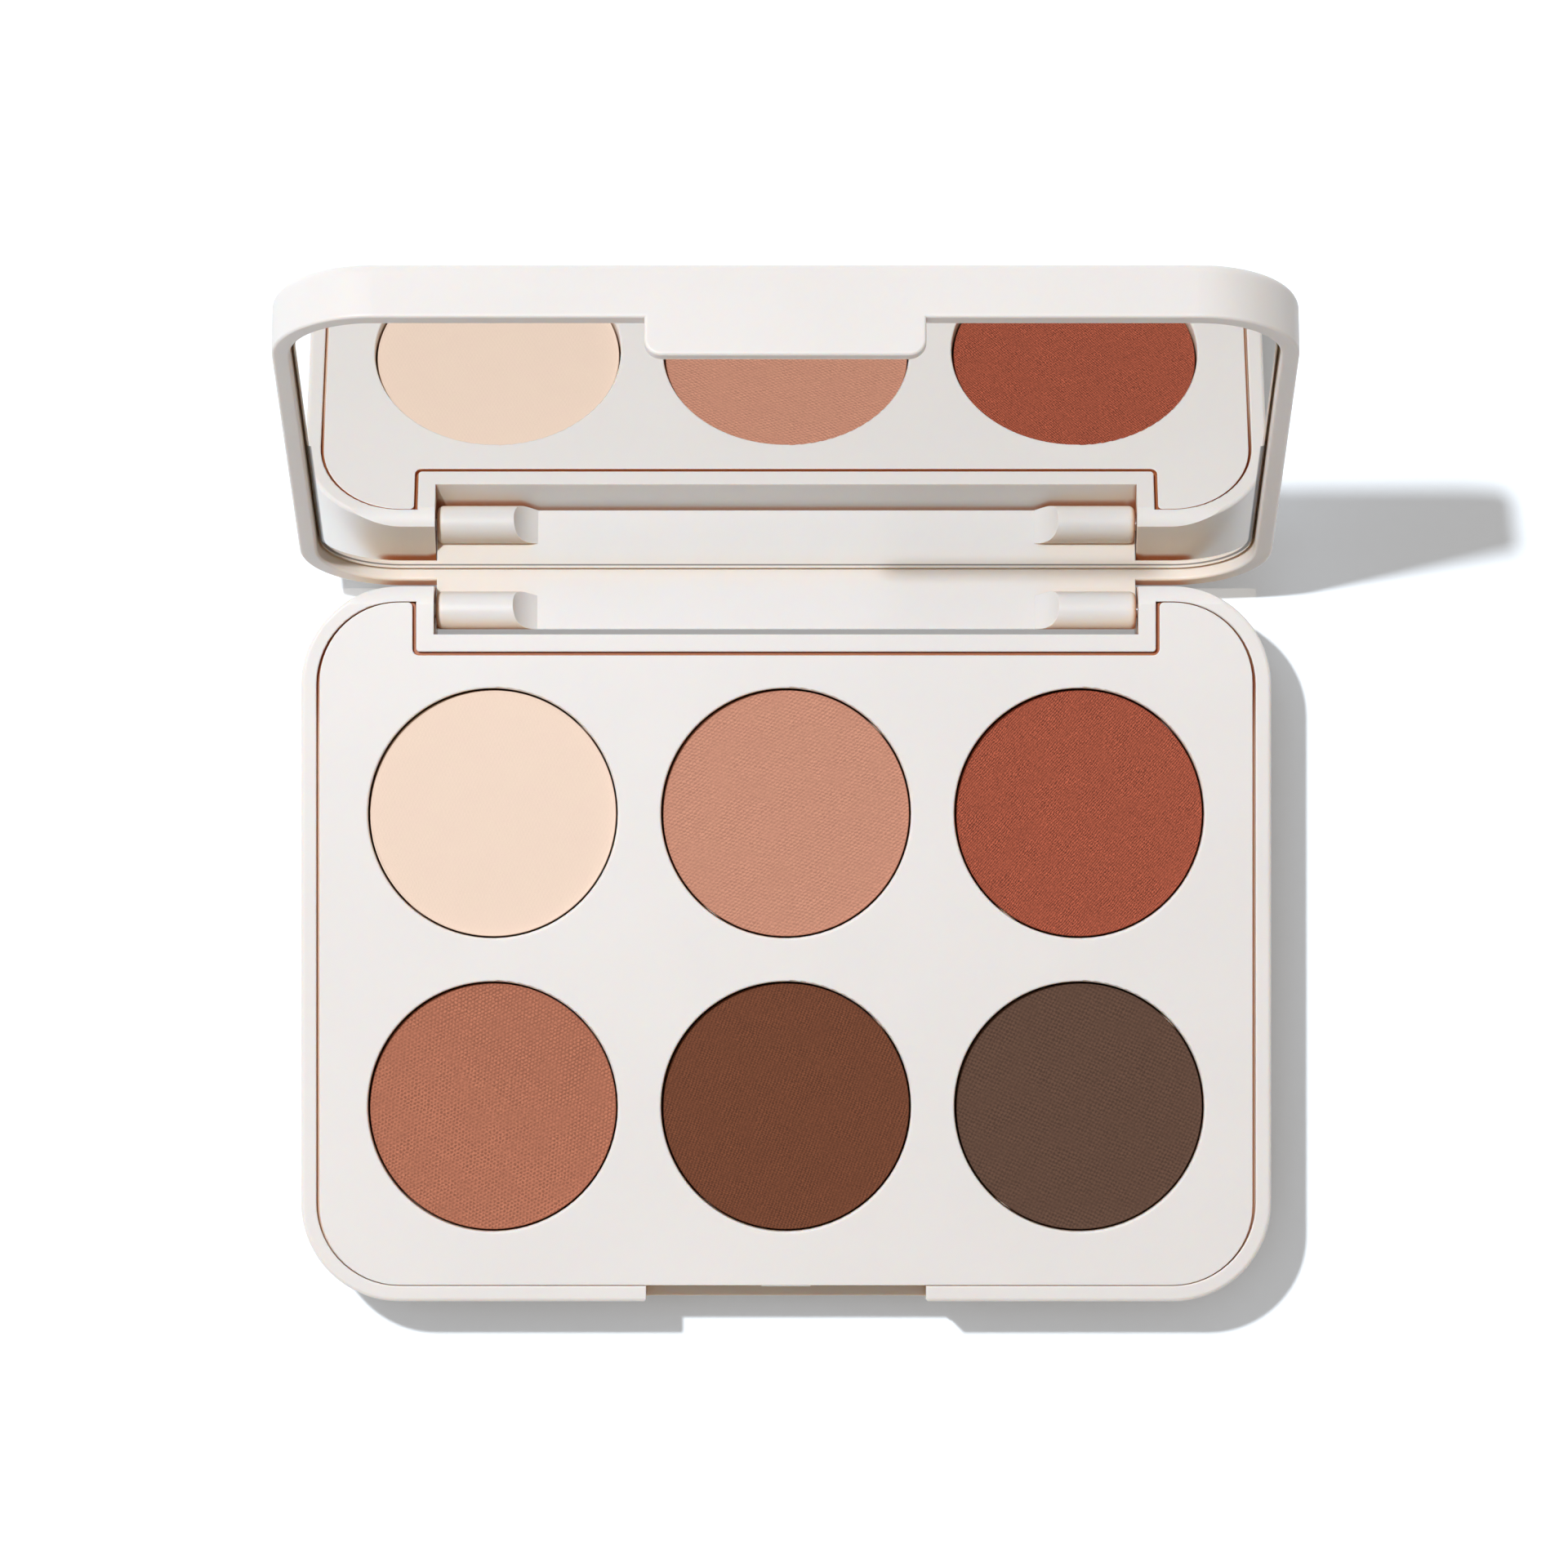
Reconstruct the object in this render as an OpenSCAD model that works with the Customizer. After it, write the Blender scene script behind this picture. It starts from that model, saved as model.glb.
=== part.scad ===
// Six-pan eyeshadow palette with a mirrored lid on two steel hinge pins.
// Origin: centre of the base's underside. +X right, +Y towards the hinge, +Z up. Millimetres.
// The lid is drawn open, leaning back on its stop.

/* [Base] */
// Width of the closed palette, left to right
base_w = 102.4; // [101:0.1:108]
// Depth of the closed palette, front to hinge
base_d = 75.5; // [75:0.1:80]
// Height of the base, up to the parting plane
base_h = 12; // [10:0.1:14]
// Plan radius of the four corners, base and lid alike
corner_r = 10.4; // [9:0.1:12]
// Thickness of the wall that shows as the base's rim
rim_t = 1.65; // [1.5:0.05:1.8]
// Thickness of the base's floor
floor_t = 1.2; // [1:0.1:1.6]
// Radius of the long lower edge
bottom_edge_r = 2.5; // [1.5:0.1:2.6]
// Radius of the rim's outer top edge
rim_edge_r = 0.4; // [0.2:0.05:0.6]

/* [Pans] */
// Diameter of one metal pan, a standard size
pan_dia = 26; // [24:0.5:26.5]
// Height of one metal pan
pan_h = 4.5; // [3.5:0.1:5]
// Sheet thickness of a pan
pan_t = 0.3; // [0.25:0.05:0.5]
// Distance between pan centres, both ways
pan_pitch = 30.95; // [30:0.05:31.5]
// How far the middle of the pan grid lies in front of the origin
pan_shift = 1.7; // [1:0.1:2]
// Clear space round a pan in its well
well_gap = 0.2; // [0.06:0.02:0.3]
// How far the pressed powder stands above its pan's rim
powder_proud = 0.24; // [0.1:0.02:0.3]
// How deep the powders lie below the plate's top
powder_depth = 1; // [0.3:0.05:1.2]

/* [Lid] */
// Height of the lid, parting plane to top
lid_h = 5.9; // [5.8:0.1:7]
// Thickness of the lid's wall
lid_t = 1.85; // [1.6:0.05:2]
// Radius of the lid's outer top edge
lid_edge_r = 1.1; // [0.6:0.1:1.2]
// Width of the finger tab
tab_w = 27.8; // [20:0.2:28]
// How far the finger tab reaches below the parting plane
tab_h = 4; // [3.5:0.1:4]
// Thickness of the mirror glass
mirror_t = 1.2; // [1:0.1:1.3]
// How far the mirror's face lies inside the lid's rim
mirror_depth = 1.15; // [1:0.05:1.3]

/* [Hinge] */
// Distance of the hinge axis from the back face
hinge_in = 2.5; // [2.5:0.1:2.6]
// Distance of the hinge axis below the parting plane
hinge_down = 3.6; // [3.6:0.1:3.7]
// Radius of the lid's hinge knuckles
knuckle_r = 2; // [1.9:0.05:2]
// Length of each knuckle
knuckle_l = 10.7; // [9:0.1:12]
// Diameter of each hinge pin
pin_dia = 1.6; // [1.5:0.1:1.8]
// How far the lid is drawn open, in degrees
lid_open = 109.3; // [0:0.1:109.3]

/* [Hidden] */
$fn = 96;
cream = [0.93, 0.905, 0.885];
tin = [0.78, 0.78, 0.77];
steel = [0.66, 0.66, 0.68];
powder_colors = [
    [0.953, 0.851, 0.776],
    [0.776, 0.545, 0.463],
    [0.616, 0.325, 0.255],
    [0.682, 0.435, 0.349],
    [0.443, 0.267, 0.192],
    [0.388, 0.286, 0.239]
];

// over: how far a cut runs past the face it starts from
// lap: how far two pieces of a union run into each other
over = 1;
lap = 0.1;

// small radii along the grooves, the wells and the notch
groove_r = 0.15;
plate_edge_r = 0.1;
opening_r = 0.2;
small_reach = 0.3;
notch_corner_r = 0.3;

// the pan plate and its clearances
plate_drop = 0.05;
plate_top = base_h - plate_drop;
plate_t = 1.2;
plate_z = plate_top - plate_t;
plate_play = 0.04;
plate_horn_r = 0.5;
// the groove round the plate: a step in its edge, of its own width at the sides, ends and hinge
groove_side = 0.3;
groove_end = 0.06;
groove_hinge = 0.36;
groove_depth = 0.6;
ledge_w = 1.2;
ledge_h = 1.2;

// hinge cutout in the base, right through it
cutout_w = 74.4;
cutout_d = 5.1;
cutout_wall = 1.85;
cutout_y = base_d / 2 - cutout_d;
cutout_wall_w = cutout_w + 2 * cutout_wall;
cutout_corner_r = 0.4;
cutout_wall_y = cutout_y - cutout_wall;
plate_cut_r = 0.7;

// the hinge, its axis along X
axis_y = base_d / 2 - hinge_in;
axis_z = base_h - hinge_down;
leaf_gap = 0.15;
leaf_w = cutout_w - 2 * leaf_gap;
parting_gap = 0.1;
rim_relief_r = hinge_down + 0.05;
pin_r = pin_dia / 2;
pin_play = 0.03;
pin_x = 30.2;
pin_l = 13;
pin_chamfer = 0.15;
bore_spare = 0.2;
boss_t = 4.5;
boss_end = cutout_wall_w / 2 + boss_t;
boss_front = 1.9;

// pans, wells, powders
pan_r = pan_dia / 2;
well_r = pan_r + well_gap;
well_wall = 0.8;
well_floor_t = 0.85;
pad_t = 0.3;
pad_r = 10;
poke_r = 1.5;
powder_top = plate_top - powder_depth;
pan_top = powder_top - powder_proud;
pan_z = pan_top - pan_h;
pad_z = pan_z - pad_t;
well_z = pad_z - well_floor_t;
powder_play = 0.04;
powder_edge = 0.12;
pan_places = [for (row = [0.5, -0.5]) for (col = [-1, 0, 1]) [col * pan_pitch, row * pan_pitch - pan_shift]];
rib_t = 0.8;

// finger notch in the front, and the catch
notch_w = 29.6;
notch_depth = 1.8;
notch_drop = 4.2;
notch_z = base_h - notch_drop;
notch_back = -base_d / 2 + notch_depth;
nail_relief = 0.4;
tab_t = 1.2;
tab_corner_r = 1.7;
tab_edge_r = 0.3;
catch_w = 5.2;
catch_r = 0.6;
catch_out = 0.3;
catch_z = base_h - 2;
tab_catch_r = 0.5;
tab_catch_out = 0.15;
tab_catch_z = base_h - 3.1;

// lid inside
lid_z = base_h + parting_gap;
lid_top = lid_z + lid_h;
lid_rim_r = 0.3;
ceiling_t = 1.3;
tape_t = 0.4;
mirror_gap = 0.25;
mirror_z = lid_z + mirror_depth;
tape_z = mirror_z + mirror_t;
shelf_z = tape_z + tape_t;
shelf_w = 2;
tape_inset = 8;
tape_corner_r = 5;
lid_rib_xs = [-32, -16, 0, 16, 32];
lid_rib_ys = [-18, 0, 18];

// hinge leaf: the curl that leads from the lid's back wall to the knuckles
leaf_in = hinge_in - lid_t;
curl_r = 3.25;
curl_z = sqrt(pow(curl_r - knuckle_r, 2) - pow(hinge_in - curl_r, 2));

// knuckle: round outer end, and a scoop at the inner end
knuckle_end_r = 0.7;
scoop_r = 5;
scoop_in = 2.1;
scoop_up = 4.53;

// label under the base
label_w = 60;
label_d = 34;
label_t = 0.12;
label_corner = 2;
label_gap = 0.25;

// ---- outlines and sweeps ----

// A rectangle with round corners, centred on the origin
module rounded_rect(w, d, r) {
    square([w - 2 * r, d], center = true);
    square([w, d - 2 * r], center = true);
    for (x = [-1, 1], y = [-1, 1])
        translate([x * (w / 2 - r), y * (d / 2 - r)])
            circle(r);
}

module rounded_slab(w, d, r, h) {
    linear_extrude(h)
        rounded_rect(w, d, r);
}

// Takes a wall profile round a rounded rectangle.
// The profile has x = 0 on the outer face, inwards negative, and y is height.
module around(w, d, r) {
    for (side = [0 : 3]) {
        straight = side % 2 == 0 ? d - 2 * r : w - 2 * r;
        out = side % 2 == 0 ? w / 2 : d / 2;
        rotate([0, 0, 90 * side]) {
            translate([out, straight / 2, 0])
                rotate([90, 0, 0])
                    linear_extrude(straight)
                        children();
            translate([out - r, straight / 2, 0])
                rotate_extrude(angle = 90)
                    translate([r, 0])
                        children();
        }
    }
}

// What is cut from an outer corner at the origin to round it, the body lying at -x, -y
module corner_bite(r, reach = over) {
    translate([-r, -r])
        difference() {
            square(r + reach);
            circle(r);
        }
}

// The same for a body lying at +x, -y
module corner_bite_left(r, reach = over) {
    mirror([1, 0])
        corner_bite(r, reach);
}

// Puts a shape drawn in the Y-Z plane, as 2D x and y, along X, centred
module along_x(length) {
    translate([-length / 2, 0, 0])
        rotate([90, 0, 90])
            linear_extrude(length)
                children();
}

// A cylinder along X, from x to x + length
module rod(x, length, r) {
    translate([x, axis_y, axis_z])
        rotate([0, 90, 0])
            cylinder(h = length, r = r);
}

// ---- base ----

module base_profile() {
    difference() {
        union() {
            translate([-rim_t, 0])
                square([rim_t, base_h]);
            translate([-corner_r, 0])
                square([corner_r, floor_t]);
            translate([-rim_t - ledge_w, plate_z - ledge_h])
                square([ledge_w, ledge_h]);
        }
        translate([0, base_h])
            corner_bite(rim_edge_r);
        translate([-rim_t, base_h])
            corner_bite_left(groove_r, small_reach);
        mirror([0, 1])
            corner_bite(bottom_edge_r);
    }
}

// Wall round the hinge cutout, level with the rim
module cutout_block() {
    depth = cutout_d + cutout_wall - rim_edge_r - over;
    translate([0, cutout_wall_y + depth / 2, 0])
        difference() {
            rounded_slab(cutout_wall_w, depth, cutout_corner_r, base_h);
            around(cutout_wall_w, depth, cutout_corner_r)
                translate([0, base_h])
                    corner_bite(groove_r);
        }
}

// Block behind the finger notch, under the plate
module notch_block() {
    translate([-notch_w / 2 - rim_t, -base_d / 2 + rim_t - lap, floor_t / 2])
        cube([notch_w + 2 * rim_t, notch_depth, plate_z - floor_t / 2]);
}

// Blocks that hold the hinge pins, hidden under the plate
module pin_bosses() {
    w = boss_end - cutout_w / 2 - lap;
    d = boss_front + hinge_in - rim_t + lap;
    for (side = [0, 1])
        mirror([side, 0, 0])
            translate([cutout_w / 2 + lap, axis_y - boss_front, floor_t / 2])
                cube([w, d, plate_z - floor_t / 2]);
}

// Ribs on the floor that carry the pan wells
module floor_ribs() {
    w = base_w - 2 * rim_t + 2 * lap;
    front_y = -base_d / 2 + rim_t + notch_depth - 2 * lap;
    h = well_z - floor_t / 2;
    for (row = [0.5, -0.5])
        translate([-w / 2, row * pan_pitch - pan_shift - rib_t / 2, floor_t / 2])
            cube([w, rib_t, h]);
    for (col = [-1, 0, 1])
        translate([col * pan_pitch - rib_t / 2, front_y, floor_t / 2])
            cube([rib_t, cutout_wall_y + lap - front_y, h]);
}

// The finger notch, its two front corners rounded
module notch_cut() {
    translate([-notch_w / 2, -base_d / 2 - over, notch_z])
        cube([notch_w, notch_depth + over, base_h]);
    translate([0, -base_d / 2, notch_z])
        linear_extrude(base_h)
            for (side = [0, 1])
                mirror([side, 0])
                    translate([-notch_w / 2, 0])
                        mirror([0, 1])
                            corner_bite(notch_corner_r, small_reach);
}

// The small round catch on the notch's back wall
module base_catch() {
    translate([-catch_w / 2, notch_back + catch_r - catch_out, catch_z])
        rotate([0, 90, 0])
            cylinder(h = catch_w, r = catch_r);
}

module base_shell() {
    color(cream)
        difference() {
            union() {
                difference() {
                    union() {
                        around(base_w, base_d, corner_r)
                            base_profile();
                        translate([0, 0, floor_t / 2])
                            cube([base_w - 2 * corner_r, base_d - 2 * corner_r, floor_t], center = true);
                        cutout_block();
                        pin_bosses();
                        notch_block();
                        floor_ribs();
                    }
                    // the notch for the finger tab, and the fingernail relief below it
                    notch_cut();
                    translate([-notch_w / 2, -base_d / 2 - over, -over])
                        cube([notch_w, nail_relief + over, base_h]);
                }
                base_catch();
            }
            // the hinge cutout
            translate([-cutout_w / 2, cutout_y, -over])
                cube([cutout_w, cutout_d + over, base_h + 2 * over]);
            // the back edge, rounded about the hinge axis so that the lid's rim can pass
            along_x(base_w)
                difference() {
                    translate([axis_y, axis_z])
                        square([hinge_in + over, hinge_down + over]);
                    translate([axis_y, axis_z])
                        circle(rim_relief_r);
                }
            // bores for the hinge pins
            for (side = [0, 1])
                mirror([side, 0, 0])
                    rod(cutout_w / 2 - over, boss_end - cutout_w / 2 + 2 * over, pin_r);
            // recess for the label
            translate([0, 0, -over])
                rounded_slab(label_w + 2 * label_gap, label_d + 2 * label_gap, label_corner, label_t + over);
        }
}

// ---- pan plate ----

// The plate seen from above, with this much space at the sides, ends and hinge.
// Two horns reach back beside the hinge cutout.
module plate_outline(side, end, hinge) {
    w = base_w - 2 * (rim_t + side);
    d = base_d - 2 * (rim_t + end);
    cut_w = cutout_wall_w + 2 * hinge;
    difference() {
        rounded_rect(w, d, corner_r - rim_t - side);
        translate([0, cutout_wall_y - hinge + d / 2])
            rounded_rect(cut_w, d, plate_cut_r);
        for (half = [0, 1])
            mirror([half, 0])
                translate([cut_w / 2, d / 2])
                    corner_bite_left(plate_horn_r, small_reach);
    }
}

// What rounds the plate's top edge, all the way round
module plate_edge_cut() {
    w = base_w - 2 * (rim_t + groove_side);
    d = base_d - 2 * (rim_t + groove_end);
    cut_w = cutout_wall_w + 2 * groove_hinge;
    around(w, d, corner_r - rim_t - groove_side)
        translate([0, plate_top])
            corner_bite(plate_edge_r);
    translate([0, cutout_wall_y - groove_hinge + d / 2, 0])
        around(cut_w, d, plate_cut_r)
            translate([0, plate_top])
                corner_bite_left(plate_edge_r, small_reach);
    for (half = [0, 1])
        mirror([half, 0, 0])
            translate([cut_w / 2 + plate_horn_r, d / 2 - plate_horn_r, 0])
                rotate([0, 0, 90])
                    rotate_extrude(angle = 90)
                        translate([plate_horn_r, plate_top])
                            corner_bite(plate_edge_r, small_reach);
}

module pan_plate() {
    color(cream)
        difference() {
            union() {
                translate([0, 0, plate_z])
                    linear_extrude(plate_t - groove_depth)
                        plate_outline(plate_play, plate_play, plate_play);
                translate([0, 0, plate_top - groove_depth - lap])
                    linear_extrude(groove_depth + lap)
                        plate_outline(groove_side, groove_end, groove_hinge);
                for (p = pan_places)
                    translate([p[0], p[1], well_z])
                        cylinder(h = plate_z + plate_t / 2 - well_z, r = well_r + well_wall);
            }
            plate_edge_cut();
            for (p = pan_places) {
                translate([p[0], p[1], pad_z])
                    cylinder(h = base_h, r = well_r);
                translate([p[0], p[1], 0])
                    rotate_extrude()
                        translate([well_r, plate_top])
                            corner_bite_left(opening_r, small_reach);
                translate([p[0], p[1], well_z - over])
                    cylinder(h = base_h, r = poke_r);
            }
        }
}

// ---- pans and powders ----

module pan(place) {
    color(tin)
        translate([pan_places[place][0], pan_places[place][1], pan_z])
            difference() {
                cylinder(h = pan_h, r = pan_r);
                translate([0, 0, pan_t])
                    cylinder(h = pan_h, r = pan_r - pan_t);
            }
}

module pan_pad(place) {
    color("ivory")
        translate([pan_places[place][0], pan_places[place][1], pad_z])
            difference() {
                cylinder(h = pad_t, r = pad_r);
                translate([0, 0, -over])
                    cylinder(h = pad_t + 2 * over, r = poke_r);
            }
}

// Pressed powder: fills its pan and covers the pan's rim
module powder(place) {
    fill_r = pan_r - pan_t - powder_play;
    cap_z = pan_h + powder_play;
    top = powder_top - pan_z;
    color(powder_colors[place])
        translate([pan_places[place][0], pan_places[place][1], pan_z])
            rotate_extrude()
                polygon([
                    [0, pan_t],
                    [fill_r, pan_t],
                    [fill_r, cap_z],
                    [pan_r, cap_z],
                    [pan_r, top - powder_edge],
                    [pan_r - powder_edge, top],
                    [0, top]
                ]);
}

// ---- hinge pins and label ----

module hinge_pin(side) {
    color(steel)
        mirror([side, 0, 0])
            translate([pin_x, axis_y, axis_z])
                rotate([0, 90, 0])
                    rotate_extrude()
                        polygon([
                            [0, 0],
                            [pin_r - pin_chamfer, 0],
                            [pin_r, pin_chamfer],
                            [pin_r, pin_l - pin_chamfer],
                            [pin_r - pin_chamfer, pin_l],
                            [0, pin_l]
                        ]);
}

module bottom_label() {
    color("white")
        rounded_slab(label_w, label_d, label_corner, label_t);
}

// ---- lid, each piece drawn closed and then opened ----

module opened() {
    translate([0, axis_y, axis_z])
        rotate([-lid_open, 0, 0])
            translate([0, -axis_y, -axis_z])
                children();
}

module lid_profile() {
    difference() {
        union() {
            translate([-lid_t, lid_z])
                square([lid_t, lid_h]);
            translate([-corner_r, lid_top - ceiling_t])
                square([corner_r, ceiling_t]);
            translate([-lid_t - shelf_w, shelf_z])
                square([shelf_w, lid_top - shelf_z - ceiling_t]);
        }
        translate([0, lid_top])
            corner_bite(lid_edge_r);
        translate([0, lid_z])
            mirror([0, 1])
                corner_bite(lid_rim_r);
        translate([-lid_t, lid_z])
            rotate(180)
                corner_bite(lid_rim_r);
    }
}

// The hinge leaf goes on from the lid's back wall and curls round the hinge axis
module leaf_profile() {
    meet = knuckle_r / (curl_r - knuckle_r);
    leaf_top = hinge_down + parting_gap + lid_rim_r;
    translate([axis_y, axis_z])
        intersection() {
            translate([leaf_in, -knuckle_r - over])
                square([hinge_in - leaf_in, knuckle_r + leaf_top + 2 * over]);
            union() {
                translate([0, curl_z])
                    square([hinge_in, leaf_top - curl_z]);
                intersection() {
                    translate([hinge_in - curl_r, curl_z])
                        circle(curl_r);
                    translate([0, -curl_z * meet])
                        square([hinge_in + over, curl_z * (1 + meet)]);
                }
                circle(knuckle_r);
            }
        }
}

// One knuckle at +X: a barrel with a rounded outer end and a scooped inner end
module knuckle() {
    start = leaf_w / 2 - knuckle_l;
    difference() {
        translate([start, axis_y, axis_z])
            rotate([0, 90, 0])
                rotate_extrude()
                    difference() {
                        square([knuckle_r, knuckle_l]);
                        translate([knuckle_r, knuckle_l])
                            corner_bite(knuckle_end_r);
                    }
        translate([start - scoop_in, axis_y + leaf_in - scoop_up, axis_z - 2 * knuckle_r])
            cylinder(h = 4 * knuckle_r, r = scoop_r);
    }
}

// The tab under the lid's front wall, its outer edge rounded
module finger_tab() {
    reach = tab_h + lid_rim_r;
    translate([0, -base_d / 2 + tab_t, lid_z + lid_rim_r])
        rotate([90, 0, 0])
            difference() {
                rounded_slab(tab_w, 2 * reach, tab_corner_r, tab_t);
                around(tab_w, 2 * reach, tab_corner_r)
                    translate([0, tab_t])
                        corner_bite(tab_edge_r);
            }
    translate([-catch_w / 2, -base_d / 2 + tab_t + tab_catch_out - tab_catch_r, tab_catch_z])
        rotate([0, 90, 0])
            cylinder(h = catch_w, r = tab_catch_r);
}

// Ribs between the mirror's tape and the ceiling
module lid_ribs() {
    w = base_w - 2 * lid_t;
    d = base_d - 2 * lid_t;
    h = lid_top - ceiling_t - shelf_z + lap;
    for (x = lid_rib_xs)
        translate([x, 0, shelf_z + h / 2])
            cube([rib_t, d - shelf_w, h], center = true);
    for (y = lid_rib_ys)
        translate([0, y, shelf_z + h / 2])
            cube([w - shelf_w, rib_t, h], center = true);
}

module lid_shell() {
    color(cream)
        opened()
            difference() {
                union() {
                    around(base_w, base_d, corner_r)
                        lid_profile();
                    translate([0, 0, lid_top - ceiling_t / 2])
                        cube([base_w - 2 * corner_r, base_d - 2 * corner_r, ceiling_t], center = true);
                    lid_ribs();
                    finger_tab();
                    along_x(leaf_w)
                        leaf_profile();
                    for (side = [0, 1])
                        mirror([side, 0, 0])
                            knuckle();
                }
                // blind bores for the hinge pins
                for (side = [0, 1])
                    mirror([side, 0, 0])
                        rod(pin_x - bore_spare, pin_l, pin_r + pin_play);
            }
}

module mirror_outline(h) {
    inset = lid_t + mirror_gap;
    rounded_slab(base_w - 2 * inset, base_d - 2 * inset, corner_r - inset, h);
}

module mirror_glass() {
    color("lightsteelblue")
        opened()
            translate([0, 0, mirror_z])
                mirror_outline(mirror_t);
}

module mirror_tape() {
    color("dimgray")
        opened()
            translate([0, 0, tape_z])
                rounded_slab(base_w - 2 * tape_inset, base_d - 2 * tape_inset, tape_corner_r, tape_t);
}

base_shell();
pan_plate();
pan(0);  // pan_1
pan(1);  // pan_2
pan(2);  // pan_3
pan(3);  // pan_4
pan(4);  // pan_5
pan(5);  // pan_6
pan_pad(0);  // pan_pad_1
pan_pad(1);  // pan_pad_2
pan_pad(2);  // pan_pad_3
pan_pad(3);  // pan_pad_4
pan_pad(4);  // pan_pad_5
pan_pad(5);  // pan_pad_6
powder(0);  // powder_1
powder(1);  // powder_2
powder(2);  // powder_3
powder(3);  // powder_4
powder(4);  // powder_5
powder(5);  // powder_6
hinge_pin(1);  // hinge_pin_left
hinge_pin(0);  // hinge_pin_right
bottom_label();
lid_shell();
mirror_glass();  // mirror
mirror_tape();
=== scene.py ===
"""The looks of the eyeshadow palette: materials, finished pieces, studio light and camera."""

import math

import bmesh
import bpy
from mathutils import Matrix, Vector


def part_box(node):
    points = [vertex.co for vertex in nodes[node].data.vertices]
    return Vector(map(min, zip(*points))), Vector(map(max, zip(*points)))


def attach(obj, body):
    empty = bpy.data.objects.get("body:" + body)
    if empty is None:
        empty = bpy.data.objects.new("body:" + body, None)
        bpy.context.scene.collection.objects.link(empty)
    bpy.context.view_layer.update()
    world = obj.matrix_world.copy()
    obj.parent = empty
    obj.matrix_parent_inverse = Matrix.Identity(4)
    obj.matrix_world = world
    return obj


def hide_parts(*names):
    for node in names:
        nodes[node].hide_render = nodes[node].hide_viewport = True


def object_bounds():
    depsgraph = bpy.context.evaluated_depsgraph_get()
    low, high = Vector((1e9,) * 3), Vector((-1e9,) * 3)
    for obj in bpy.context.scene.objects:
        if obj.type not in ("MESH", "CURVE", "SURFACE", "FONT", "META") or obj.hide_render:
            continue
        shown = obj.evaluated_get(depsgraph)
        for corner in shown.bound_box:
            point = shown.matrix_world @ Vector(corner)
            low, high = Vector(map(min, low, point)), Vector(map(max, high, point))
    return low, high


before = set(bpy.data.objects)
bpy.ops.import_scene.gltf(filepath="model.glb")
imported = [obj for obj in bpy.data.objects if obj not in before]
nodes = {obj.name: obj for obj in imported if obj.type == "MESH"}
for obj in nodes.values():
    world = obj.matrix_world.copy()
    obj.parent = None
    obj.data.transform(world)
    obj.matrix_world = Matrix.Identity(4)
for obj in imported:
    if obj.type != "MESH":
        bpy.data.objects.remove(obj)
cad_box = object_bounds()
MM = 0.001


# ---- stage: camera, floor, light ----

# Metres, apart from the sensor's width and the two SLOT values, which are millimetres, and
# MIRROR_DEPTH, which counts bounces. FIELD is the width of the view at the base's top.
PLATE_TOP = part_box("base_shell")[1].z
CAMERA_UP = 0.965
FIELD = 0.16546
SENSOR = 36.0
AIM = Vector((-0.00021, 0.01686, PLATE_TOP))
CAMERA_SIDE = 0.0012
LAMP_PLACE = Vector((-0.362, 0.340, 1.100))
LAMP_TARGET = Vector((0, 0.01, PLATE_TOP))
FLOOR_HALF = 3.0
FLOOR_DROP = 0.02 * MM
# SLOT_FROM and SLOT_INSET bound the strip of floor under the hinge cutout that glows with painted light.
SLOT_FROM = 20
SLOT_INSET = 1
MIRROR_DEPTH = 2.5


def make_camera():
    data = bpy.data.cameras.new("camera")
    data.sensor_width = SENSOR
    data.lens = SENSOR * CAMERA_UP / FIELD
    data.clip_start = 0.05
    data.clip_end = 20
    camera = bpy.data.objects.new("camera", data)
    camera.location = AIM + Vector((CAMERA_SIDE, 0, CAMERA_UP))
    camera.rotation_euler = (0, math.atan2(CAMERA_SIDE, CAMERA_UP), 0)
    bpy.context.scene.collection.objects.link(camera)
    bpy.context.scene.camera = camera


def make_floor():
    signs = [(-1, -1), (1, -1), (1, 1), (-1, 1)]
    corners = [(x * FLOOR_HALF, y * FLOOR_HALF, -FLOOR_DROP) for x, y in signs]
    mesh = bpy.data.meshes.new("floor")
    mesh.from_pydata(corners, [], [(0, 1, 2, 3)])
    floor = bpy.data.objects.new("floor", mesh)
    bpy.context.scene.collection.objects.link(floor)
    mesh.materials.append(floor_material())


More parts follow.
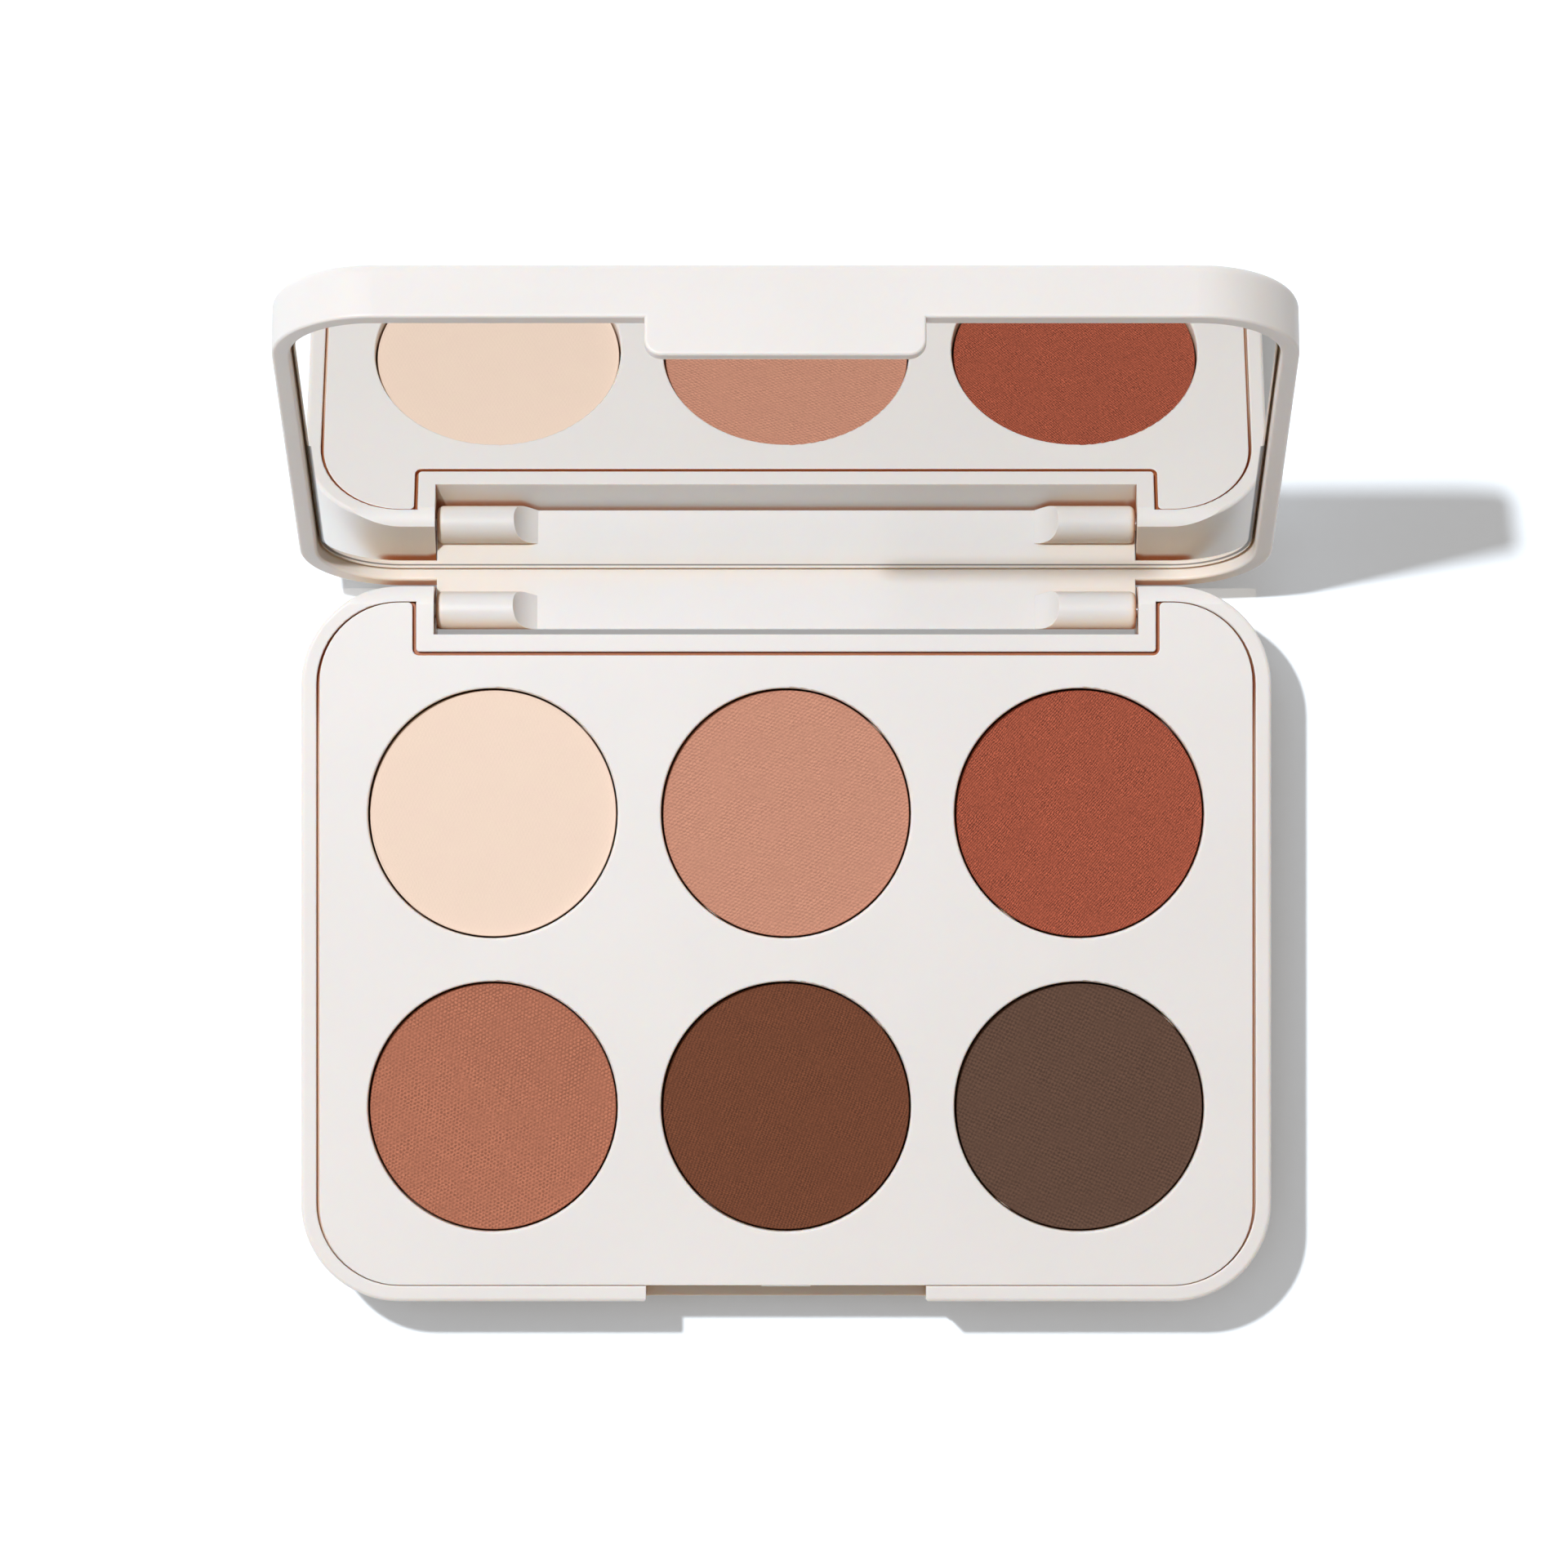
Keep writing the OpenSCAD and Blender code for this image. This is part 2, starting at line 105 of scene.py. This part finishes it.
def floor_material():
    """White paper that glows with painted light, more in the open than close to what stands on it, and
    clear from below.

    The strip that shows through the hinge cutout counts as open and glows with painted light too.
    """
    material, shader = principled("studio_floor")
    tree = material.node_tree
    # Painted light: the floor's emission is weak close to what stands on it, strong in the open and in the
    # strip under the hinge cutout, and bluish in the open.
    openness = add(tree, "ShaderNodeAmbientOcclusion", {"Distance": 12 * MM}, samples=8).outputs["AO"]
    side = cad_box[1].x / MM - SLOT_INSET
    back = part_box("base_shell")[1].y / MM
    place = add(tree, "ShaderNodeSeparateXYZ", {0: place_in_mm(tree)}).outputs
    inside = maths(tree, "LESS_THAN", maths(tree, "ABSOLUTE", place[0]), side)
    behind = maths(tree, "MULTIPLY", inside, maths(tree, "GREATER_THAN", place[1], SLOT_FROM))
    under = maths(tree, "MULTIPLY", behind, maths(tree, "LESS_THAN", place[1], back))
    painted_light = maths(tree, "MAXIMUM", smooth(tree, openness, 0.40, 0.90), under)
    put(tree, shader.inputs["Emission Strength"], between(tree, painted_light, 0.06, 0.20))
    painted_light_colour = blend_colours(tree, under, (0.84, 1.0, 1.21, 1), (0.97, 0.98, 0.99, 1))
    put(tree, shader.inputs["Emission Color"], painted_light_colour)
    shader.inputs["Base Color"].default_value = (0.90, 0.935, 0.965, 1)
    shader.inputs["Roughness"].default_value = 0.9
    shader.inputs["Specular IOR Level"].default_value = 0.0
    below = add(tree, "ShaderNodeNewGeometry", {}).outputs["Backfacing"]
    gone = add(tree, "ShaderNodeBsdfTransparent", {}).outputs[0]
    sides = add(tree, "ShaderNodeMixShader", {0: below, 1: shader.outputs[0], 2: gone}).outputs[0]
    put(tree, tree.nodes["Material Output"].inputs["Surface"], sides)
    return material


def make_lights():
    data = bpy.data.lights.new("key", "AREA")
    data.shape = "DISK"
    data.size = 0.046
    data.energy = 13.74
    data.color = (0.884, 0.939, 1.0)
    key = bpy.data.objects.new("key", data)
    key.location = LAMP_PLACE
    key.rotation_mode = "QUATERNION"
    key.rotation_quaternion = (LAMP_TARGET - LAMP_PLACE).to_track_quat("-Z", "Y")
    bpy.context.scene.collection.objects.link(key)

    bpy.context.scene.world = make_world()
    bpy.context.scene.view_settings.view_transform = "Standard"


def make_world():
    """White to the camera, a pale grey studio in the mirror, and a dim warm fill for everything else.

    A ray that leaves the mirror straight after the camera has a depth below MIRROR_DEPTH.
    """
    world = bpy.data.worlds.new("studio")
    world.use_nodes = True
    tree = world.node_tree
    tree.nodes.clear()
    fill = background(tree, (1.0, 0.84, 0.66, 1), 0.30)
    seen = background(tree, (1, 1, 1, 1), 1.0)
    reflected = background(tree, (0.96, 0.98, 1.0, 1), 0.70)
    path = add(tree, "ShaderNodeLightPath", {}).outputs
    first = maths(tree, "LESS_THAN", path["Ray Depth"], MIRROR_DEPTH)
    in_mirror = maths(tree, "MULTIPLY", first, path["Is Singular Ray"])
    in_mirror = maths(tree, "SUBTRACT", in_mirror, path["Is Camera Ray"])
    direct = add(tree, "ShaderNodeMixShader", {0: path["Is Camera Ray"], 1: fill, 2: seen}).outputs[0]
    around = add(tree, "ShaderNodeMixShader", {0: in_mirror, 1: direct, 2: reflected}).outputs[0]
    add(tree, "ShaderNodeOutputWorld", {"Surface": around})
    return world


def background(tree, colour, strength):
    return add(tree, "ShaderNodeBackground", {"Color": colour, "Strength": strength}).outputs[0]


# ---- helpers for shader nodes ----


def principled(name):
    material = bpy.data.materials.new(name)
    material.use_nodes = True
    shader = material.node_tree.nodes["Principled BSDF"]
    return material, shader


def linear(r, g, b):
    """An sRGB colour, 0 to 255, as the linear colour that a shader takes."""
    def channel(c):
        c = c / 255
        return c / 12.92 if c <= 0.04045 else ((c + 0.055) / 1.055) ** 2.4
    return (channel(r), channel(g), channel(b), 1)


def put(tree, socket, value):
    """Wires value to socket if it is a socket, and sets it otherwise."""
    if isinstance(value, bpy.types.NodeSocket):
        tree.links.new(value, socket)
    else:
        socket.default_value = value


def add(tree, kind, inputs, **settings):
    node = tree.nodes.new(kind)
    for name, value in settings.items():
        setattr(node, name, value)
    for name, value in inputs.items():
        put(tree, node.inputs[name], value)
    return node


def maths(tree, operation, a, b=0.0):
    return add(tree, "ShaderNodeMath", {0: a, 1: b}, operation=operation).outputs[0]


def smooth(tree, value, low, high):
    """0 below low, 1 above high, and a soft step between."""
    inputs = {"Value": value, "From Min": low, "From Max": high}
    return add(tree, "ShaderNodeMapRange", inputs, interpolation_type="SMOOTHSTEP").outputs[0]


def between(tree, factor, low, high):
    inputs = {"Value": factor, "To Min": low, "To Max": high}
    return add(tree, "ShaderNodeMapRange", inputs).outputs[0]


def blend_colours(tree, factor, a, b, way="MIX"):
    node = add(tree, "ShaderNodeMix", {0: factor, 6: a, 7: b}, data_type="RGBA", blend_type=way)
    return node.outputs[2]


def place_in_mm(tree):
    """Where a point lies on its piece, in millimetres."""
    place = add(tree, "ShaderNodeTexCoord", {}).outputs["Object"]
    node = add(tree, "ShaderNodeVectorMath", {0: place}, operation="SCALE")
    node.inputs["Scale"].default_value = 1 / MM
    return node.outputs[0]


def noise(tree, place, per_mm, detail=2.0, roughness=0.5):
    inputs = {"Vector": place, "Scale": per_mm, "Detail": detail, "Roughness": roughness}
    return add(tree, "ShaderNodeTexNoise", inputs).outputs[0]


def bump(tree, height, height_mm, strength=1.0, normal=None):
    inputs = {"Height": height, "Distance": height_mm * MM, "Strength": strength}
    if normal is not None:
        inputs["Normal"] = normal
    return add(tree, "ShaderNodeBump", inputs).outputs[0]


# ---- materials ----

# Linear colours: the plastic, the painted shade in its narrow gaps by where they lie, and the painted warm
# shade in its recesses.
CREAM = (0.790, 0.759, 0.740)
HINGE_GAP_PAINTED_SHADE = (0.50, 0.17, 0.06, 1)
SIDE_GAP_PAINTED_SHADE = (0.78, 0.52, 0.38, 1)
LID_GAP_PAINTED_SHADE = (0.80, 0.60, 0.44, 1)
RECESS_PAINTED_SHADE = (0.80, 0.68, 0.56, 1)


def shell_plastic(name, painted_shade_level, gap_shade, hinge_gap_shade, hinge_shade_reach):
    """Satin cream plastic, slightly see-through, with a fine moulded grain, and painted shade in its gaps.

    The gap colour is painted shade in the narrow gaps, and the hinge gap colour painted shade in the
    gaps near the hinge, where it reaches further out by the hinge reach. Broader recesses get a warm
    painted shade. The underside, close to the floor, keeps the plain colour. The level darkens the
    whole colour, a painted shade on the lid, which the lamp lights more strongly.
    """
    material, shader = principled(name)
    tree = material.node_tree
    place = place_in_mm(tree)
    cloud = noise(tree, place, 0.05, 3)
    light = tuple(c * painted_shade_level for c in CREAM) + (1,)
    dull = tuple(c * painted_shade_level * 0.98 for c in CREAM) + (1,)
    tone = blend_colours(tree, smooth(tree, cloud, 0.3, 0.7), light, dull)
    # Painted shade: occlusion within 1 mm turns the narrow gaps brown, and occlusion within 5 mm warms the
    # broader recesses.
    near = add(tree, "ShaderNodeAmbientOcclusion", {"Distance": 1.0 * MM}, samples=12).outputs["AO"]
    wide = add(tree, "ShaderNodeAmbientOcclusion", {"Distance": 5.0 * MM}, samples=6).outputs["AO"]
    axes = add(tree, "ShaderNodeSeparateXYZ", {0: place}).outputs
    clear = smooth(tree, axes[2], 0.8, 3.5)
    recess_shade_mask = maths(tree, "SUBTRACT", 1.0, smooth(tree, wide, 0.20, 0.80))
    recess_shade_mask = maths(tree, "MULTIPLY", clear, recess_shade_mask)
    tone = blend_colours(tree, recess_shade_mask, tone, RECESS_PAINTED_SHADE)
    back = smooth(tree, axes[1], 20, 29)
    gap_shade = blend_colours(tree, back, gap_shade, hinge_gap_shade)
    near = maths(tree, "SUBTRACT", near, maths(tree, "MULTIPLY", back, hinge_shade_reach))
    depth = maths(tree, "SUBTRACT", 1.0, smooth(tree, near, 0.26, 0.58))
    depth = maths(tree, "MULTIPLY", clear, depth)
    put(tree, shader.inputs["Base Color"], blend_colours(tree, depth, tone, gap_shade))
    grain = noise(tree, place, 5.0, 3)
    waves = noise(tree, place, 0.35, 1)
    put(tree, shader.inputs["Roughness"], between(tree, grain, 0.38, 0.48))
    fine = bump(tree, grain, 0.004, 0.5)
    put(tree, shader.inputs["Normal"], bump(tree, waves, 0.02, 0.3, fine))
    shader.inputs["Specular IOR Level"].default_value = 0.42
    shader.inputs["Subsurface Weight"].default_value = 1.0
    shader.inputs["Subsurface Radius"].default_value = (1.0, 0.7, 0.5)
    shader.inputs["Subsurface Scale"].default_value = 0.0004
    return material


def weave_height(tree, place, waves):
    """Height, about 0 to 1, of the cloth pattern that the press leaves in a powder."""
    height = 0.5
    for pitch, turn, share in waves:
        cycle = 2 * math.pi / pitch
        heading = math.radians(turn)
        step = (cycle * math.cos(heading), cycle * math.sin(heading), 0)
        phase = add(tree, "ShaderNodeVectorMath", {0: place, 1: step}, operation="DOT_PRODUCT")
        wave = maths(tree, "MULTIPLY", maths(tree, "SINE", phase.outputs["Value"]), share / 2)
        height = maths(tree, "ADD", wave, height)
    return height


def wander(tree, place, start, per_mm, reach_mm):
    """start, pushed by up to reach_mm by a soft noise, so that lines drawn there waver."""
    push = add(tree, "ShaderNodeTexNoise", {"Vector": place, "Scale": per_mm, "Detail": 2}).outputs["Color"]
    push = add(tree, "ShaderNodeVectorMath", {0: push, "Scale": reach_mm}, operation="SCALE").outputs[0]
    return add(tree, "ShaderNodeVectorMath", {0: start, 1: push}, operation="ADD").outputs[0]


POWDER_LEVEL = 0.90


def powder_material(shade):
    """Pressed powder: the press cloth's weave, with painted shade in its dips and painted light on its
    ridges, loose grains and a few bright flecks.
    """
    name, rgb, waves, contrast, weave_mm, fleck = shade
    material, shader = principled(name)
    tree = material.node_tree
    place = place_in_mm(tree)
    wavy = wander(tree, place, place, 0.5, 0.35)
    wavy = wander(tree, place, wavy, 3.2, 0.32)
    weave = weave_height(tree, wavy, waves)
    grains = noise(tree, place, 9.0, 4, 0.7)
    patches = smooth(tree, noise(tree, place, 0.5, 3), 0.35, 0.70)
    base = tuple(c * POWDER_LEVEL for c in linear(*rgb)[:3])
    # Painted shade and light: the weave's dips are painted darker and its ridges lighter, following the
    # height that also drives its bump.
    painted_dip_shade = tuple(c * (1 - contrast) for c in base) + (1,)
    light = tuple(min(1, c * (1 + contrast)) for c in base) + (1,)
    colour = blend_colours(tree, smooth(tree, weave, 0.15, 0.85), painted_dip_shade, light)
    plain = tuple(base) + (1,)
    colour = blend_colours(tree, maths(tree, "MULTIPLY", patches, 0.60), colour, plain)
    spread = min(0.05, 0.006 + 0.12 * contrast)
    cloud = between(tree, noise(tree, place, 0.35, 3), 1 - spread, 1 + spread)
    clumps = noise(tree, place, 4.5, 3, 0.65)
    speck = between(tree, clumps, 1 - contrast * 1.3, 1 + contrast * 1.3)
    mottle = maths(tree, "MULTIPLY", cloud, speck)
    hue = between(tree, noise(tree, place, 0.6, 2), 0.98, 1.02)
    green = maths(tree, "MULTIPLY", mottle, hue)
    tint = add(tree, "ShaderNodeCombineColor", {0: mottle, 1: green, 2: mottle}).outputs[0]
    colour = blend_colours(tree, 1.0, colour, tint, "MULTIPLY")
    spots = add(tree, "ShaderNodeTexVoronoi", {"Vector": place, "Scale": 5.5}, feature="F1")
    spot = maths(tree, "SUBTRACT", 1.0, smooth(tree, spots.outputs["Distance"], 0.10, 0.22))
    lot = add(tree, "ShaderNodeSeparateColor", {0: spots.outputs["Color"]}).outputs[0]
    glint = maths(tree, "MULTIPLY", spot, smooth(tree, lot, 1 - fleck, 1.02 - fleck))
    pale = tuple(min(1, c * 1.5 + 0.08) for c in base) + (1,)
    colour = blend_colours(tree, maths(tree, "MULTIPLY", glint, 0.5), colour, pale)
    put(tree, shader.inputs["Base Color"], colour)
    put(tree, shader.inputs["Roughness"], between(tree, glint, 0.82, 0.4))
    coarse = bump(tree, weave, weave_mm)
    put(tree, shader.inputs["Normal"], bump(tree, grains, 0.02, 0.6, coarse))
    shader.inputs["Specular IOR Level"].default_value = 0.25
    return material


def pan_metal():
    material, shader = principled("pressed_tin")
    tree = material.node_tree
    place = place_in_mm(tree)
    brushed = noise(tree, place, 3.0, 3)
    tone = blend_colours(tree, brushed, (0.60, 0.59, 0.57, 1), (0.70, 0.69, 0.67, 1))
    put(tree, shader.inputs["Base Color"], tone)
    put(tree, shader.inputs["Roughness"], between(tree, brushed, 0.28, 0.42))
    put(tree, shader.inputs["Normal"], bump(tree, brushed, 0.01, 0.3))
    shader.inputs["Metallic"].default_value = 1.0
    return material


def pin_steel():
    material, shader = principled("ground_steel")
    tree = material.node_tree
    place = place_in_mm(tree)
    rings = add(tree, "ShaderNodeMapping", {"Vector": place})
    rings.inputs["Scale"].default_value = (8.0, 0.6, 0.6)
    marks = noise(tree, rings.outputs[0], 2.0, 2)
    tone = blend_colours(tree, marks, (0.56, 0.56, 0.58, 1), (0.68, 0.68, 0.69, 1))
    put(tree, shader.inputs["Base Color"], tone)
    put(tree, shader.inputs["Roughness"], between(tree, marks, 0.16, 0.30))
    put(tree, shader.inputs["Normal"], bump(tree, marks, 0.004, 0.4))
    shader.inputs["Metallic"].default_value = 1.0
    return material


# A painted reflection: the grey line drawn on the silver where the glass's far edge shows, its height above
# the lower edge and its width in millimetres, and its colour.
PAINTED_EDGE_LINE_UP = 1.0
PAINTED_EDGE_LINE_W = 0.45
PAINTED_EDGE_LINE_TONE = (0.20, 0.20, 0.205, 1)


def rounded_distance(tree, across, up, half_w, half_h, radius):
    """How far a point lies outside a rectangle with round corners, all in millimetres."""
    qx = maths(tree, "SUBTRACT", maths(tree, "ABSOLUTE", across), half_w - radius)
    qy = maths(tree, "SUBTRACT", maths(tree, "ABSOLUTE", up), half_h - radius)
    past_x = maths(tree, "MAXIMUM", qx, 0)
    past_y = maths(tree, "MAXIMUM", qy, 0)
    corner = add(tree, "ShaderNodeCombineXYZ", {0: past_x, 1: past_y})
    reach = add(tree, "ShaderNodeVectorMath", {0: corner.outputs[0]}, operation="LENGTH").outputs["Value"]
    flat = maths(tree, "MINIMUM", maths(tree, "MAXIMUM", qx, qy), 0)
    return maths(tree, "SUBTRACT", maths(tree, "ADD", reach, flat), radius)


def mirror_silver(middle, rise, half_w, half_h, radius):
    """Silvered glass, with a painted reflection: a thin grey line where the glass's far edge shows, above
    its lower edge.
    """
    material, shader = principled("mirror_silver")
    tree = material.node_tree
    place = place_in_mm(tree)
    haze = noise(tree, place, 0.08, 2)
    silver = blend_colours(tree, haze, (0.905, 0.905, 0.895, 1), (0.915, 0.915, 0.905, 1))
    offset = {0: place, 1: tuple(middle / MM)}
    from_middle = add(tree, "ShaderNodeVectorMath", offset, operation="SUBTRACT").outputs[0]
    across = add(tree, "ShaderNodeSeparateXYZ", {0: from_middle}).outputs[0]
    along = {0: from_middle, 1: tuple(rise)}
    up = add(tree, "ShaderNodeVectorMath", along, operation="DOT_PRODUCT").outputs["Value"]
    # The painted reflection of the glass's far edge, as a grey line on the silver.
    lifted = maths(tree, "SUBTRACT", up, PAINTED_EDGE_LINE_UP)
    out = rounded_distance(tree, across, lifted, half_w / MM, half_h / MM, radius / MM)
    off = maths(tree, "ABSOLUTE", maths(tree, "ADD", out, PAINTED_EDGE_LINE_W / 2))
    line = maths(tree, "SUBTRACT", 1.0, smooth(tree, off, PAINTED_EDGE_LINE_W * 0.3, PAINTED_EDGE_LINE_W * 0.7))
    low = maths(tree, "MULTIPLY", line, maths(tree, "LESS_THAN", up, 0))
    put(tree, shader.inputs["Base Color"], blend_colours(tree, low, silver, PAINTED_EDGE_LINE_TONE))
    shader.inputs["Metallic"].default_value = 1.0
    shader.inputs["Roughness"].default_value = 0.0
    return material


def mirror_edge():
    material, shader = principled("mirror_edge")
    tree = material.node_tree
    grinding = noise(tree, place_in_mm(tree), 4.0, 2)
    tone = blend_colours(tree, grinding, (0.55, 0.60, 0.60, 1), (0.68, 0.72, 0.72, 1))
    put(tree, shader.inputs["Base Color"], tone)
    put(tree, shader.inputs["Roughness"], between(tree, grinding, 0.10, 0.22))
    shader.inputs["Metallic"].default_value = 0.75
    return material


def mirror_back():
    material, shader = principled("mirror_back_paint")
    tree = material.node_tree
    coat = noise(tree, place_in_mm(tree), 1.2, 3)
    tone = blend_colours(tree, coat, (0.20, 0.20, 0.21, 1), (0.26, 0.26, 0.27, 1))
    put(tree, shader.inputs["Base Color"], tone)
    put(tree, shader.inputs["Normal"], bump(tree, coat, 0.02, 0.4))
    shader.inputs["Roughness"].default_value = 0.6
    return material


def foam(name, low, high):
    """Foam tape and glue pads: tiny open cells."""
    material, shader = principled(name)
    tree = material.node_tree
    place = place_in_mm(tree)
    bubbles = add(tree, "ShaderNodeTexVoronoi", {"Vector": place, "Scale": 4.0}, feature="F1")
    cells = bubbles.outputs["Distance"]
    put(tree, shader.inputs["Base Color"], blend_colours(tree, cells, low, high))
    put(tree, shader.inputs["Normal"], bump(tree, cells, 0.05, 0.6))
    shader.inputs["Roughness"].default_value = 0.85
    return material


def label_film():
    material, shader = principled("label_film")
    tree = material.node_tree
    fibre = noise(tree, place_in_mm(tree), 3.0, 4, 0.65)
    tone = blend_colours(tree, fibre, (0.80, 0.79, 0.77, 1), (0.85, 0.84, 0.82, 1))
    put(tree, shader.inputs["Base Color"], tone)
    put(tree, shader.inputs["Normal"], bump(tree, fibre, 0.006, 0.5))
    put(tree, shader.inputs["Roughness"], between(tree, fibre, 0.42, 0.55))
    return material


def dress(node, material):
    nodes[node].data.materials.clear()
    nodes[node].data.materials.append(material)


# ---- powders: each fills its pan, with a soft pressed edge and a slightly uneven face ----

RINGS = 48
SPOKES = 192
EDGE_STEPS = 8
SHARP_EDGE = math.radians(50)
EDGE_R = 0.14 * MM
PAN_SHEET = 0.30 * MM
PAN_PLAY = 0.04 * MM
SIDE_DROP = 0.21 * MM


def powder_piece(number, material):
    low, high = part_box(f"powder_{number}")
    centre = (low + high) / 2
    radius = (high.x - low.x) / 2
    inside = radius - PAN_SHEET - PAN_PLAY
    skirt = high.z - SIDE_DROP
    shoulder = high.z - EDGE_R
    profile = [(inside, low.z), (inside, skirt), (radius, skirt), (radius, shoulder)]
    for step in range(1, EDGE_STEPS + 1):
        turn = math.radians(90 * step / EDGE_STEPS)
        profile.append((radius - EDGE_R * (1 - math.cos(turn)), shoulder + EDGE_R * math.sin(turn)))
    flat = radius - EDGE_R
    for ring in range(1, RINGS):
        profile.append((flat * (1 - ring / RINGS), high.z))
    mesh = bpy.data.meshes.new(f"powder_{number}_pressed")
    form = bmesh.new()
    loops = []
    for r, z in profile:
        loop = [face_point(number, centre, r, z, spoke, high.z) for spoke in range(SPOKES)]
        loops.append([form.verts.new(point) for point in loop])
    for a, b in zip(loops, loops[1:]):
        for i in range(SPOKES):
            j = (i + 1) % SPOKES
            form.faces.new((a[i], a[j], b[j], b[i]))
    under = form.verts.new((centre.x, centre.y, low.z))
    middle = form.verts.new(face_point(number, centre, 0, high.z, 0, high.z))
    for i in range(SPOKES):
        j = (i + 1) % SPOKES
        form.faces.new((loops[0][j], loops[0][i], under))
        form.faces.new((loops[-1][i], loops[-1][j], middle))
    for face in form.faces:
        face.smooth = True
    for edge in form.edges:
        edge.smooth = edge.calc_face_angle(0) < SHARP_EDGE
    form.to_mesh(mesh)
    form.free()
    mesh.materials.append(material)
    piece = bpy.data.objects.new(f"powder_{number}_pressed", mesh)
    bpy.context.scene.collection.objects.link(piece)
    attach(piece, "base")
    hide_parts(f"powder_{number}")


def face_point(number, centre, r, z, spoke, top):
    """A point of the powder, its face dipping by up to 0.028 mm so that it isn't perfectly flat."""
    turn = 2 * math.pi * spoke / SPOKES
    x = r * math.cos(turn)
    y = r * math.sin(turn)
    if z >= top - 1e-9:
        a = math.sin(x / MM * 0.31 + number * 1.7) * math.cos(y / MM * 0.27 - number)
        b = math.sin(x / MM * 0.83 - y / MM * 0.61 + number * 2.3)
        z = z - MM * (0.010 * (1 + a) + 0.004 * (1 + b))
    return Vector((centre.x + x, centre.y + y, z))


# ---- mirror: the glass with a polished edge ----

MIRROR_EDGE_R = 0.28 * MM


def mirror_piece():
    source = nodes["mirror"]
    mesh = source.data.copy()
    mesh.name = "mirror_plate"
    form = bmesh.new()
    form.from_mesh(mesh)
    bmesh.ops.remove_doubles(form, verts=form.verts, dist=1e-7)
    form.normal_update()
    bmesh.ops.dissolve_limit(form, angle_limit=math.radians(1), verts=form.verts, edges=form.edges)
    broad = max(form.faces, key=lambda face: face.calc_area())
    facing = broad.normal.copy()
    if facing.y > 0:
        facing.negate()
    rise = Vector((1, 0, 0)).cross(facing)
    if rise.z < 0:
        rise.negate()
    middle = broad.calc_center_bounds()
    spots = [v.co - middle for v in broad.verts]
    half_w = max(p.x for p in spots)
    half_h = max(p.dot(rise) for p in spots)
    radius = half_w - max(p.x for p in spots if p.dot(rise) > half_h - 0.01 * MM)
    sharp = [edge for edge in form.edges if edge.calc_face_angle(0) > math.radians(60)]
    rim = [edge for edge in sharp if any(face.normal.dot(facing) > 0.9 for face in edge.link_faces)]
    bmesh.ops.bevel(form, geom=rim, offset=MIRROR_EDGE_R, segments=3, profile=0.5, affect="EDGES")
    form.normal_update()
    for face in form.faces:
        lean = face.normal.dot(facing)
        face.material_index = 0 if lean > 0.999 else 2 if lean < -0.9 else 1
        face.smooth = abs(lean) < 0.999
    form.to_mesh(mesh)
    form.free()
    mesh.materials.clear()
    for material in (mirror_silver(middle, rise, half_w, half_h, radius), mirror_edge(), mirror_back()):
        mesh.materials.append(material)
    piece = bpy.data.objects.new("mirror_plate", mesh)
    bpy.context.scene.collection.objects.link(piece)
    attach(piece, "lid")
    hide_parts("mirror")


# name, colour, the weave's waves (pitch in mm, heading in degrees, share), contrast of the weave's
# painted shade and light and of the mottling, the weave's depth in mm, share of flecks
SHADES = [
    ("powder_ivory", (243, 218, 199), [(0.35, -27, 0.5), (0.32, 23, 0.5)], 0.015, 0.002, 0.01),
    ("powder_rose", (201, 142, 118), [(0.348, -50, 0.55), (0.345, 74, 0.45)], 0.19, 0.020, 0.06),
    ("powder_brick", (164, 82, 59), [(0.229, -40, 0.68), (0.336, 51, 0.32)], 0.50, 0.028, 0.06),
    ("powder_terracotta", (177, 111, 86), [(0.351, -63, 0.4), (0.358, -5, 0.3), (0.361, 57, 0.3)],
     0.32, 0.028, 0.04),
    ("powder_chocolate", (115, 66, 43), [(0.336, -21, 0.55), (0.234, 68, 0.45)], 0.34, 0.025, 0.02),
    ("powder_taupe", (97, 70, 56), [(0.393, 66, 0.55), (0.36, -28, 0.45)], 0.27, 0.028, 0.02),
]

make_camera()
make_floor()
make_lights()
cream = shell_plastic("cream_plastic", 1.0, SIDE_GAP_PAINTED_SHADE, HINGE_GAP_PAINTED_SHADE, 0.17)
for node in ("base_shell", "pan_plate"):
    dress(node, cream)
# The lid's plastic is painted 5 % darker than the base's: painted shade that evens out the lamp, which
# lights the lid more strongly.
dress("lid_shell", shell_plastic("cream_plastic_lid_painted_darker", 0.95, LID_GAP_PAINTED_SHADE, LID_GAP_PAINTED_SHADE, 0.0))
tin = pan_metal()
glue = foam("glue_pad", (0.62, 0.58, 0.48, 1), (0.74, 0.70, 0.60, 1))
for number, shade in enumerate(SHADES, 1):
    dress(f"pan_{number}", tin)
    dress(f"pan_pad_{number}", glue)
    powder_piece(number, powder_material(shade))
steel = pin_steel()
for side in ("left", "right"):
    dress(f"hinge_pin_{side}", steel)
mirror_piece()
dress("mirror_tape", foam("foam_tape", (0.05, 0.05, 0.05, 1), (0.11, 0.11, 0.11, 1)))
dress("bottom_label", label_film())
